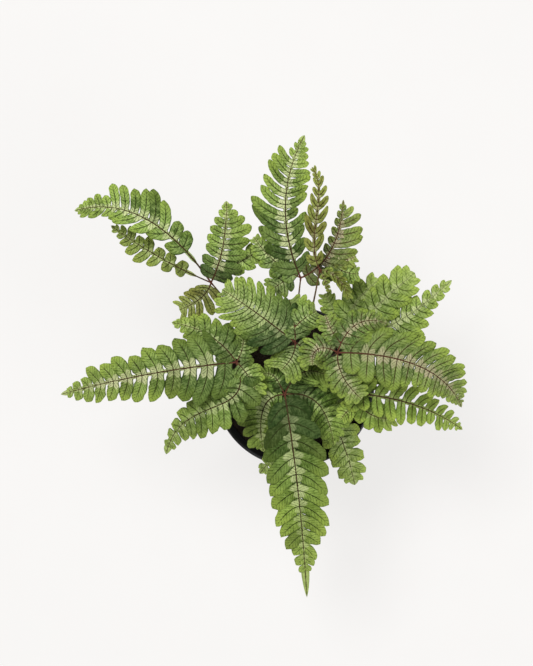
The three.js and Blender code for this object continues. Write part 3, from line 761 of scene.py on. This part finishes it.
husk = Finish("rootstock_husk")
fibre = husk.grain(husk.drawn_out(husk.place(), 0.3), 1.2 * MM, detail=5, rough=0.7)
papery = husk.parts("scale_at")[0]
woody = husk.mix((0.016, 0.009, 0.006), (0.085, 0.045, 0.024), fibre)
husk_material = husk.shader(
    Base_Color=husk.mix(woody, (0.17, 0.088, 0.038), papery * (0.35 + 0.5 * fibre)),
    Roughness=0.7 + 0.2 * fibre,
    Normal=husk.bump(fibre, 0.4 * MM),
)
crown = rootstock.piece("rootstock", husk_material)
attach(crown, "root")
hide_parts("crown")

# Blades
# Each frond's hand of pinnae, grown as one thin leaf: a raised dark midrib down every pinna
# and round-ended lobes cut nearly to it, a third of a millimetre thick and slightly puckered.
# The lobes overlap like shingles where a pinna bends and fan apart round the outside.

leaf_thickness = 0.32
lobe_rows, lobe_columns = 24, 10
lobe_run = np.sin(np.linspace(0, 1, lobe_rows + 1) * math.pi / 2) ** 1.15
lobe_breadth = np.sin(np.linspace(-1, 1, lobe_columns + 1) * 1.3) / math.sin(1.3)
lobe_crowding = 1.3
lobe_middle_width, waist_end = 1.17, 0.42
lobe_sag = 0.26
sweep_power, width_scatter = (1.5, 2.1), (0.96, 1.08)
nod_start, most_nod = 0.55, 0.13
root_flare, flare_reach = 0.3, 0.04
edge_wave_length, pucker_length = 4.2, (5, 8)
twist, twist_scatter = 5, 4
gutter_depth, gutter_width = 0.34, 0.75
cup_depth, pucker_depth = 0.2, 0.07
lean_scatter, fold_scatter = 3.5, 3
inner_reach = 0.8
wing_width, wing_least, wing_droop = 1.5, 0.6, 0.4
wing_rows_a_lobe, tail_rows, wing_columns = 4, 12, 7
wing_sink, tail_sink = 0.4, 0.12
rib_least, rib_slim, rib_stout = 0.18, 0.12, 0.36
rib_steps, rib_sides, rib_end = 56, 8, 0.985
knuckle_steps, knuckle_sides = 9, 12
knuckle_run, knuckle_radius, knuckle_swelling = (-2.6, 1.2), 0.42, 0.26
hub_dark_reach, hub_dark_fade, hub_dark_lost = 0.05, 0.45, 0.85
usual_tones = {"deep": 0, "lime": 0.2, "brown": 0, "pink": 0, "stripe": 1, "frost": 0.05,
               "pale_rib": 0}
usual_form = {"fold": 9, "lean": (68, 44), "slender": 1, "tail": 0.96, "waist": 0.88, "bare": 2.4}
reach_seed, lobe_seed = 100, 700
length_steps = 200
seed_multiplier, seed_step, seed_range = 1664525, 1013904223, 2 ** 32


def draws(seed):
    """A repeatable run of numbers from 0 to 1, drawn as for the solids' lobes."""
    while True:
        seed = (seed * seed_multiplier + seed_step) % seed_range
        yield seed / seed_range


def rib_frame(curve, t):
    """The midrib's place at t, its forward, right and upward ways, and how fast it turns right."""
    step = 0.02
    before, after = max(0, t - step), min(1, t + step)
    at = along(curve, t)[0]
    forward = heading(curve, t)[0]
    right = unit(np.cross(forward, (0, 0, 1)))
    up = np.cross(right, forward)
    bend = heading(curve, after)[0] - heading(curve, before)[0]
    run = np.linalg.norm(along(curve, after)[0] - along(curve, before)[0])
    return at, forward, right, up, bend @ right / run


def side_reaches(pinna, side, draw):
    """How far each lobe of a side reaches out from the midrib, from the root to the tip."""
    given = pinna.get(side, 1)
    if isinstance(given, list):
        return given
    widths = pinna["widths"]
    shares = (np.arange(pinna["lobes"]) + 0.5) / pinna["lobes"]
    full = np.interp(shares * (len(widths) - 1), range(len(widths)), widths)
    return [reach * given * (0.9 + 0.18 * next(draw)) for reach in full]


def width_at(pinna, share):
    """The longer side's reach at a share of the pinna."""
    return max(np.interp(share * len(reaches) - 0.5, range(len(reaches)), reaches)
               for reaches in pinna["reaches"].values())


def thin_leaf(shell, middle, normals, columns, **kept):
    """A thin closed leaf, its upper and under faces to either side of a grid of places."""
    lift = normals * leaf_thickness / 2
    points, faces = closed_sheet(middle + lift, middle - lift, columns)
    doubled = {name: np.concatenate([np.broadcast_to(values, middle.shape)] * 2)
               for name, values in kept.items()}
    face_of = np.repeat([0.0, 1.0], len(middle))
    doubled["lobe_side"] = np.stack([face_of, face_of * 0, face_of * 0], axis=1)
    shell.add(points, faces, **doubled)


def stations(pinna, lobes):
    """Shares of the midrib where a side's lobes begin and end, closer towards the tip."""
    spaced = 1 - (1 - np.arange(lobes + 1) / lobes) ** lobe_crowding
    return pinna["bare_share"] + (pinna["tail"] - pinna["bare_share"]) * spaced


def hub_shade(share):
    """How much of the hub's darkness, partly painted shade, is left at a share of the pinna."""
    fade = min(1, max(0, (share - hub_dark_reach) / hub_dark_fade))
    return 1 - hub_dark_lost * fade * fade * (3 - 2 * fade)


def lobe_spine(at, forward, right, up, length, lean, rise, widest, rng):
    """A lobe's midvein: it leaves the midrib at its lean, curves forward and sags at its end."""
    out = lobe_run * length
    ahead = length / math.tan(lean) * lobe_run ** rng.uniform(*sweep_power)
    sag = lobe_sag * out ** 2 / widest
    late = np.clip(lobe_run - nod_start, 0, 1) / (1 - nod_start)
    nod = rng.uniform(0, most_nod) * length * late ** 2
    return (at
            + np.outer(out * math.cos(rise), right)
            + np.outer(ahead, forward)
            + np.outer(out * math.sin(rise) - (sag + nod), up))


def lobe_halves(room, length, pinna, rng):
    """Half the lobe's width along its run, from its waist to its round end, and its widest."""
    swell = np.clip(lobe_run / waist_end, 0, 1) ** 1.2
    body = pinna["waist"] + (lobe_middle_width - pinna["waist"]) * swell
    flare = root_flare * np.exp(-lobe_run / flare_reach)
    half = 0.5 * room * (body + flare) * rng.uniform(*width_scatter) * pinna["slender"]
    widest = half[lobe_rows // 2]
    blunt = 1 - min(0.6, widest * (0.8 + 0.7 * rng.uniform() ** 2) / length)
    point = rng.uniform() ** 2
    round_end = 1 - np.clip((lobe_run - blunt) / (1 - blunt), 0, 1) ** (2.2 - 0.3 * point)
    round_end = np.clip(round_end, 0, 1) ** (0.48 + 0.14 * point) * (1 - 0.13 * lobe_run ** 2)
    return np.maximum(half * round_end, 0.03 * widest), widest


def lobe_relief(beside, out, widest, side, rng):
    """How far the lobe's face stands off flat: twisted, cupped, puckered, sunk at its midvein."""
    run, breadth = lobe_run[:, None], np.abs(lobe_breadth)
    turn = math.radians(side * rng.normal(twist, twist_scatter))
    gutter = gutter_depth * np.exp(-(beside / gutter_width) ** 2) * np.clip(1.15 - run, 0, 1)
    cup = cup_depth * widest * breadth ** 2.2 * np.clip(0.25 + run, 0, 1)
    swing = (2 * np.pi * out[:, None] / rng.uniform(*pucker_length) + rng.uniform(0, 6.3)
             + (lobe_breadth > 0) * 2.1)
    pucker = pucker_depth * widest * breadth ** 2 * np.sin(swing)
    return beside * math.tan(turn) * np.clip(run * 2.5, 0, 1) - gutter - cup + pucker


def lobe(shell, curve, pinna, i, side, rng):
    """One lobe on the right (side 1) or the left (side -1) of the midrib."""
    reaches = pinna["reaches"][side]
    start, end = stations(pinna, len(reaches))[i:i + 2]
    share = (i + 0.5) / len(reaches)
    at, forward, right, up, turn = rib_frame(curve, (start + end) / 2)
    inward = side * turn
    length = min(inner_reach / inward if inward > 0 else math.inf, reaches[i])
    lean_base, lean_tip = pinna["right_lean"] if side > 0 else pinna["lean"]
    lean = math.radians(lean_base + share * (lean_tip - lean_base) + rng.normal(0, lean_scatter))
    rise = math.radians(pinna["fold"] + rng.normal(0, fold_scatter))
    middle = lobe_spine(at, forward, right * side, up, length, lean, rise, pinna["widest"], rng)
    travel = unit(np.gradient(middle, axis=0))
    across = unit(forward - travel * (travel @ forward)[:, None])
    normal = side * np.cross(travel, across)

    out = lobe_run * length
    pitch = np.linalg.norm(along(curve, end)[0] - along(curve, start)[0])
    crossing = np.sqrt(np.clip(1 - (travel @ forward) ** 2, 0.3, 1)) ** 0.7
    room = pitch * crossing * np.clip(1 - inward * out, 0.8, 1.3)
    half, widest = lobe_halves(room, length, pinna, rng)
    swing = out[:, None] / edge_wave_length + rng.uniform() + (lobe_breadth > 0) * 0.4
    wave = np.sin(2 * np.pi * swing)
    waved = 1 + (0.015 + 0.035 * lobe_run[:, None]) * wave * np.abs(lobe_breadth)
    beside = half[:, None] * lobe_breadth * waved
    relief = lobe_relief(beside, out, widest, side, rng)
    grid = (middle[:, None] + across[:, None] * beside[..., None]
            + normal[:, None] * relief[..., None])
    normals = side * unit(np.cross(np.gradient(grid, axis=0), np.gradient(grid, axis=1)))
    breadth = lobe_breadth
    if side < 0:  # A left lobe's columns run the other way, so that its faces look up as well.
        grid, normals, beside = grid[:, ::-1], normals[:, ::-1], beside[:, ::-1]
        breadth = breadth[::-1]

    columns = len(breadth)
    count = len(lobe_run) * columns
    place = np.stack([np.repeat(lobe_run, columns), np.tile(breadth, len(lobe_run)),
                      np.full(count, share)], axis=1)
    size = np.stack([np.repeat(out, columns), beside.reshape(-1), np.full(count, rng.uniform())],
                    axis=1)
    tone = np.clip(np.array([
        # Partly painted light: the yellow-green tone rises towards the pinna's end.
        pinna["lime"] + rng.normal(0, 0.08) + 0.25 * share,
        # Partly painted shade: the dark tone round the hub, fading along the pinna.
        pinna["deep"] * hub_shade(share) + rng.normal(0, 0.06),
        pinna["brown"] + rng.normal(0, 0.04)]), 0, 1)
    thin_leaf(shell, grid.reshape(-1, 3), normals.reshape(-1, 3), columns,
              lobe_place=place, lobe_size=size, lobe_tone=tone,
              lobe_stripe=(pinna["stripe"], pinna["pink"], pinna["frost"]))


def wing(shell, curve, pinna):
    """The strip of leaf that joins the lobes along the midrib and ends in the pinna's point."""
    rows = wing_rows_a_lobe * max(len(reaches) for reaches in pinna["reaches"].values())
    tail_share = pinna["tail"]
    ts = np.concatenate([np.linspace(pinna["bare_share"] * 0.5, tail_share, rows),
                         np.linspace(tail_share, 1, tail_rows + 1)[1:]])
    rise = math.radians(pinna["fold"])
    grid, normals, place, size, tones = [], [], [], [], []
    for k, t in enumerate(ts):
        at, _, right, up, _ = rib_frame(curve, t)
        share = min(1, k / rows)
        tail = max(0, (t - tail_share) / (1 - tail_share))
        half = min(wing_width, max(wing_least, 0.3 * width_at(pinna, share)))
        half += (pinna["tail_half"] - half) * max(0, share - 0.85) / 0.15
        if tail:
            half = pinna["tail_half"] * (1 + 0.45 * tail) * (1 - tail) ** 0.8
        half = max(half * min(1, k / 3), 0.05)
        sunk = tail_sink + wing_sink * (1 - min(1, tail * 4))
        for across in np.linspace(-1, 1, wing_columns):
            offset = abs(across) * half
            grid.append(at + right * across * half * math.cos(rise)
                        + up * (offset * math.sin(rise) - sunk - wing_droop * abs(across)))
            normals.append(up)
            place.append((offset / pinna["widest"], 0.6, share))
            size.append((offset, wing_width, 0.5))
            # Partly painted light in the first tone, rising towards the pinna's end, and partly
            # painted shade in the second, round the hub.
            tones.append((pinna["lime"] + 0.25 * share, pinna["deep"] * hub_shade(share),
                          pinna["brown"]))
    thin_leaf(shell, np.array(grid), np.array(normals), wing_columns,
              lobe_place=place, lobe_size=size, lobe_tone=np.clip(tones, 0, 1),
              lobe_stripe=(pinna["stripe"], pinna["pink"], pinna["frost"]))


def midrib(shell, curve, pinna, length):
    """The raised rib of a pinna, thinning from the hub to its tip."""
    run = np.linspace(0, rib_end, rib_steps)
    stoutness = rib_slim + rib_stout * min(1, pinna["widest"] / 20)
    radii = rib_least + stoutness * (1 - run) ** 0.8
    warmth = pinna["pink"] - pinna["pale_rib"]
    kept = np.stack([run, run * length, np.full_like(run, warmth)], axis=1)
    tube(shell, along(curve, run), radii, rib_sides, flat=0.9, rib_at=kept)


def knuckle(shell, frond):
    """The swelling where the stipe meets its pinnae."""
    hub = np.array(frond["hub"], float)
    arrival = heading(stipe_curve(frond["foot"], hub), 1.0)[0]
    middles = hub + np.outer(np.linspace(*knuckle_run, knuckle_steps), arrival)
    bulge = np.sin(np.linspace(0.15, 0.97, knuckle_steps) * math.pi)
    radii = knuckle_radius + knuckle_swelling * bulge
    tube(shell, middles, radii, knuckle_sides, rib_at=np.zeros((knuckle_steps, 3)))


def settle(pinna, frond, curves, draw):
    """Fills in what a pinna leaves to its frond or the usual form. Gives its curve and length."""
    for tone, usual in usual_tones.items():
        pinna.setdefault(tone, frond.get(tone, usual))
    for name, usual in usual_form.items():
        pinna.setdefault(name, usual)
    pinna.setdefault("right_lean", pinna["lean"])
    root = frond["hub"]
    if "root" in pinna:
        branch, share = pinna["root"]
        root = along(curves[branch], share)[0]
    curve = [root, *pinna["bends"], pinna["tip"]]
    steps = np.diff(along(curve, np.linspace(0, 1, length_steps)), axis=0)
    length = np.linalg.norm(steps, axis=1).sum()
    pinna["bare_share"] = pinna["bare"] / length
    pinna["reaches"] = {-1: side_reaches(pinna, "left", draw),
                        1: side_reaches(pinna, "right", draw)}
    pinna["widest"] = max(max(reaches) for reaches in pinna["reaches"].values())
    pinna.setdefault("tail_half", 0.6 * width_at(pinna, 1))
    return curve, length


# The leaf's skin is coloured by where each point lies on its lobe: out from the midrib, to
# the side of the midvein, and along the pinna. Fine veins run forward off a dark midvein,
# a pale band follows the midrib, and the edges and tips are yellower than the middle, partly
# painted light. Painted shade darkens the pinnae round the hubs and the lobes' edges where they
# meet near the midrib.

dark_green, light_green = (0.026, 0.070, 0.006), (0.265, 0.400, 0.085)
# Partly painted light: these yellow-greens light the outer lobes and their tips.
yellow_green_and_light, lime_green = (0.350, 0.470, 0.080), (0.300, 0.405, 0.068)
# Partly painted shade: the dark hub colours, also the leaf's own darker tone there.
hub_shade_dark, hub_shade_light = (0.013, 0.033, 0.006), (0.062, 0.100, 0.028)
# Partly painted light: the second colour here lights the pinnae's outer ends.
young_brown, tip_lime_and_light = (0.175, 0.105, 0.035), (0.430, 0.560, 0.130)
blue_green = (0.110, 0.160, 0.060)
silver_green, silver_pink = (0.500, 0.550, 0.270), (0.400, 0.340, 0.220)
# Painted shade, partly real dark sinus marks: the second colour here darkens where the lobes meet.
vein_green, notch_shade_green = (0.018, 0.038, 0.005), (0.014, 0.030, 0.004)
midvein_brown, midvein_red = (0.020, 0.024, 0.006), (0.045, 0.016, 0.010)
under_green, glow_green = (0.190, 0.250, 0.095), (0.42, 0.58, 0.08)
vein_pitch = 2.2

leaf = Finish("striped_leaf")
where = leaf.place()
out_share, breadth, pinna_share = leaf.parts("lobe_place")
out_mm, beside, chance = leaf.parts("lobe_size")
lime, deep, brown = leaf.parts("lobe_tone")
stripe, pink, frost = leaf.parts("lobe_stripe")
under = leaf.parts("lobe_side")[0]
edge_share, beside_mm = abs(breadth), abs(beside)

mottle = leaf.grain(where, 3 * MM, detail=5, rough=0.65)
speckle = leaf.grain(where, 0.8 * MM, detail=2)
drift = leaf.grain(where, 16 * MM, detail=2)
forward_mm = out_mm - 0.9 * beside_mm
small = leaf.step(pinna_share, 0.55, 1.0)
vein = leaf.node("Math", {"operation": "PINGPONG"},
                 {0: forward_mm + 2.4 * mottle, 1: vein_pitch / 2})
side_vein = (1 - leaf.step(vein, 0.04, 0.34)) * leaf.step(speckle, 0.3, 0.6)
midvein = ((1 - leaf.step(beside_mm, 0.1, 0.5)) * (1 - leaf.step(out_share, 0.55, 0.95) * 0.8)
           * (1 - 0.6 * small))
fleck_at = leaf.node("CombineXYZ", {}, {0: forward_mm * 1.3, 1: beside_mm * 0.45, 2: chance * 60})
flecks = leaf.grain(fleck_at, 1, rough=0.65)
finger_at = leaf.node("CombineXYZ", {}, {0: forward_mm * 0.5, 1: beside_mm * 0.15, 2: chance * 40})
fingers = leaf.grain(finger_at, 1, detail=2, rough=0.6)

off_middle = abs(edge_share - 0.5) * 2
band_width = (0.18 + 0.09 * stripe - 0.13 * off_middle * off_middle
              + 0.15 * (fingers - 0.5) + 0.10 * (chance - 0.5))
band = 1 - leaf.step(out_share - band_width, -0.04, 0.03)
band_along = leaf.step(pinna_share, 0.02, 0.16) * (1 - 0.55 * leaf.step(pinna_share, 0.75, 1.0))
# Painted shade, partly the lobes' own dark sinus marks: dark lines along the lobes' edges near the
# midrib, where neighbouring lobes meet and overlap.
notch_and_shade = (leaf.step(edge_share, 0.78, 0.97) * leaf.step(out_share, 0.0, 0.05)
         * (1 - leaf.step(out_share, 0.35, 0.85)))
bright = leaf.step(drift, 0.3, 0.62)
pale = band * band_along * stripe * (1 - 0.6 * notch_and_shade) * (0.45 + 0.55 * bright) * (1 - 0.4 * deep)

tint = leaf.step(0.35 * flecks + 0.65 * mottle + 0.2 * (chance - 0.5), 0.36, 0.66)
tip = leaf.step(out_share + 0.3 * (fingers - 0.5) + 0.12 * edge_share, 0.5, 1.02)
green = leaf.mix(dark_green, light_green, tint)
# Partly painted light, partly the leaf's own yellowing: lighter and yellower towards the pinnae's
# ends and at the lobes' tips and edges.
green = leaf.mix(green, yellow_green_and_light, leaf.step(pinna_share, 0.2, 1.0) * 0.60 * (0.5 + 0.5 * tint))
green = leaf.mix(green, lime_green, lime * (0.35 + 0.65 * tip) + 0.30 * tip)
# Painted shade round the hubs, partly the leaf's own darker colour there.
green = leaf.mix(green, leaf.mix(hub_shade_dark, hub_shade_light, tint), deep * 1.05)
green = leaf.mix(green, young_brown, brown * (0.55 + 0.4 * mottle))
# Painted light on the outer lobes, partly their own colour.
green = leaf.mix(green, tip_lime_and_light, leaf.step(pinna_share, 0.5, 1.0) * lime * (0.35 + 0.4 * tint))
green = leaf.mix(green, blue_green, frost * frost * (1 - tip) * (1 - 0.5 * deep) * 0.9)
silver = leaf.mix(silver_green, silver_pink, pink)
frosted = leaf.step(0.5 * flecks + 0.5 * mottle, 0.42, 0.62) * frost * (1 - tip) * (1 - 0.7 * deep)
veined = side_vein * (0.68 + 0.32 * frost - 0.15 * lime) * (1 - under) * (1 - 0.5 * small)
colour = leaf.mix(green, silver, frosted * 0.5)
colour = leaf.mix(colour, silver, pale * (0.6 + 0.4 * tint))
colour = leaf.mix(colour, vein_green, veined)
# Painted shade where the lobes meet near the midrib.
colour = leaf.mix(colour, notch_shade_green, notch_and_shade * 0.8 * (1 - under) * (1 - 0.4 * small))
colour = leaf.mix(colour, leaf.mix(midvein_brown, midvein_red, pink), midvein * 0.92)
colour = leaf.mix(colour, under_green, under * 0.65)
upper_skin = leaf.node("BsdfPrincipled", {}, {
    "Base Color": colour,
    "Roughness": 0.52 + 0.16 * mottle,
    "Specular IOR Level": 0.06,
    "Normal": leaf.bump(0.6 * side_vein + midvein - 0.5 * mottle, -0.4 * MM),
})
glow = leaf.node("BsdfTranslucent", {}, {"Color": glow_green})
skin = leaf.node("MixShader", {}, {0: 0.05 + 0.08 * lime, 1: upper_skin, 2: glow})
leaf.node("OutputMaterial", {}, {"Surface": skin})

rib = Finish("midrib_skin")
run, from_hub, warmth = rib.parts("rib_at")
wood = rib.grain(rib.place(), 1.2 * MM)
olive = rib.mix((0.022, 0.013, 0.004), (0.056, 0.034, 0.010), wood)
olive = rib.mix(olive, (0.100, 0.080, 0.022), rib.step(run, 0.55, 1.0) * 0.6)
olive = rib.mix(olive, (0.240, 0.280, 0.110), (0 - warmth) * rib.step(run, 0.1, 0.6))
olive = rib.mix(olive, (0.085, 0.030, 0.017), warmth * (0.45 + 0.4 * wood))
rib_material = rib.shader(
    Base_Color=rib.mix(olive, (0.100, 0.026, 0.016), (1 - rib.step(from_hub, 1.0, 7.0)) * 0.75),
    Roughness=0.6 + 0.2 * wood,
    Specular_IOR_Level=0.15,
    Normal=rib.bump(wood, 0.1 * MM),
)

for number, (name, frond) in enumerate(FRONDS.items()):
    draw = draws(reach_seed + number)
    rng = np.random.default_rng(lobe_seed + number)
    lobes, ribs = Shell(), Shell()
    curves = []
    for pinna in frond["pinnae"]:
        curve, length = settle(pinna, frond, curves, draw)
        curves.append(curve)
        for side, reaches in pinna["reaches"].items():
            for i in range(len(reaches)):
                lobe(lobes, curve, pinna, i, side, rng)
        wing(lobes, curve, pinna)
        midrib(ribs, curve, pinna, length)
    knuckle(ribs, frond)
    blade = lobes.piece(f"blade_{name}", leaf.material)
    veins = ribs.piece(f"midribs_{name}", rib_material)
    for piece in (blade, veins):
        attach(piece, "root")
        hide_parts(f"frond_{name}_blade")

# Floor, light and camera
# A plain pale floor under soft light from all round, and a camera that looks straight down
# from 1.4 m above the rim, as the photo does. A pixel of the photo is 0.75 mm at the rim.

floor_side = 3.0
floor_glow, sky_glow = 0.765, 0.2
lamp_aim = Vector((0, 0, 0.15))
pixel = 0.75 * MM
photo_pixels = 666
photo_middle = -20.9 * MM, 40.5 * MM
rim_distance = 1400 * MM
sensor = 36

paper = Finish("pale_floor")
tooth = paper.grain(paper.place(), 50 * MM, detail=2)
floor_material = paper.shader(
    Base_Color=paper.mix((0.12, 0.118, 0.116), (0.13, 0.128, 0.126), tooth),
    Roughness=0.9,
    Emission_Color=(1, 0.985, 0.97),
    Emission_Strength=floor_glow,
)
corners = [(x * floor_side, y * floor_side, 0) for x, y in ((-1, -1), (1, -1), (1, 1), (-1, 1))]
floor = mesh_piece("pale_floor", corners, [(0, 1, 2, 3)], floor_material, smooth=False)

sky = bpy.data.worlds.new("soft_sky")
sky.use_nodes = True
sky.node_tree.nodes["Background"].inputs["Color"].default_value = (1, 0.995, 0.985, 1)
sky.node_tree.nodes["Background"].inputs["Strength"].default_value = sky_glow
bpy.context.scene.world = sky


def lamp(name, spot, size, power):
    """A soft square lamp aimed at the fern."""
    data = bpy.data.lights.new(name, "AREA")
    data.size = size
    data.energy = power
    light = bpy.data.objects.new(name, data)
    light.location = spot
    light.rotation_euler = (lamp_aim - Vector(spot)).to_track_quat("-Z", "Y").to_euler()
    bpy.context.scene.collection.objects.link(light)


lamp("key", (-0.5, 0.6, 1.9), 0.7, 41)
lamp("fill", (1.3, -0.7, 1.3), 1.0, 18)

camera_data = bpy.data.cameras.new("camera")
camera_data.sensor_fit = "VERTICAL"
camera_data.sensor_height = sensor
camera_data.lens = sensor * rim_distance / (photo_pixels * pixel)
camera = bpy.data.objects.new("camera", camera_data)
camera.location = (*photo_middle, pot_top + rim_distance)
bpy.context.scene.collection.objects.link(camera)
bpy.context.scene.camera = camera
bpy.context.scene.view_settings.view_transform = "Standard"
